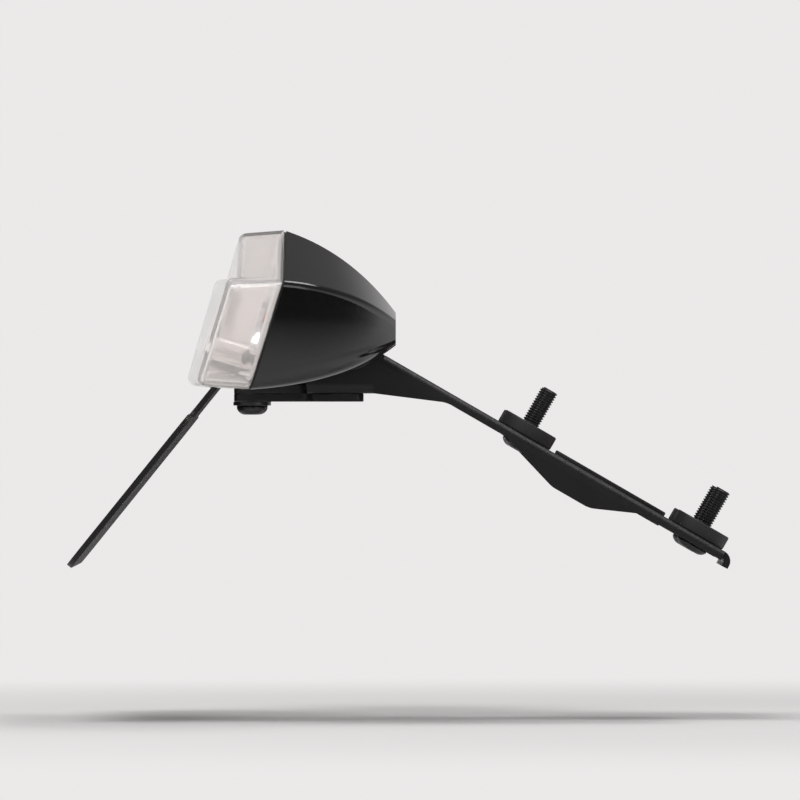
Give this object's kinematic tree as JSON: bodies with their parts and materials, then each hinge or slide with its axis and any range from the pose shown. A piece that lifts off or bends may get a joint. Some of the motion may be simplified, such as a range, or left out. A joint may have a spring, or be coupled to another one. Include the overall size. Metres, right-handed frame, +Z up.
{
  "type": "tail tidy",
  "caption": "Folded black steel tail bracket for a motorcycle with studs, a rear arm, a bent plate hanger, a plate lamp and clear-lens turn indicators on short stalks.",
  "frame": {"origin": "centre of the four mounting studs, on the sloping face where the spacers meet the tail", "axes": "+X to the front of the motorcycle, +Y to its left, +Z up"},
  "size_m": [0.2389, 0.2434, 0.122],
  "materials": {
    "powder_coat": "satin black powder coat with a fine texture",
    "black_steel": "black zinc-plated steel",
    "plain_steel": "plain turned steel",
    "black_nylon": "matt black moulded nylon",
    "black_rubber": "black moulded rubber",
    "gloss_housing": "polished black moulding",
    "clear_lens": "clear moulded polycarbonate with ribs inside",
    "bright_reflector": "bright metal film on a moulding",
    "amber_bulb": "amber glass",
    "lamp_plastic": "satin black moulding",
    "lamp_window": "clear flat window",
    "light_board": "white board with three light chips"
  },
  "bodies": {
    "root": {"main_bracket": "powder_coat", "hanger_arm": "powder_coat", "plate_hanger": "powder_coat", "mount_spacers": "black_nylon", "mount_bolts": "black_steel", "mount_washers": "black_steel", "cable_grommet": "black_rubber", "arm_bolts": "black_steel", "arm_washers": "black_steel", "arm_nuts": "black_steel", "hanger_pad": "black_rubber", "hanger_bolts": "black_steel", "hanger_washers": "black_steel", "hanger_nuts": "black_steel", "lamp_housing": "lamp_plastic", "lamp_lens": "lamp_window", "lamp_gasket": "black_rubber", "lamp_board": "light_board", "lamp_screws": "black_steel", "lens_screws": "black_steel", "indicator_stems": "plain_steel", "stem_washers": "black_steel", "stem_nuts": "black_steel", "right_indicator_housing": "gloss_housing", "right_indicator_lens": "clear_lens", "right_lens_seal": "black_rubber", "right_reflector": "bright_reflector", "right_bulb_holder": "black_nylon", "right_bulb": "amber_bulb", "right_stalk": "black_rubber", "left_indicator_housing": "gloss_housing", "left_indicator_lens": "clear_lens", "left_lens_seal": "black_rubber", "left_reflector": "bright_reflector", "left_bulb_holder": "black_nylon", "left_bulb": "amber_bulb", "left_stalk": "black_rubber"}
  },
  "joints": []
}
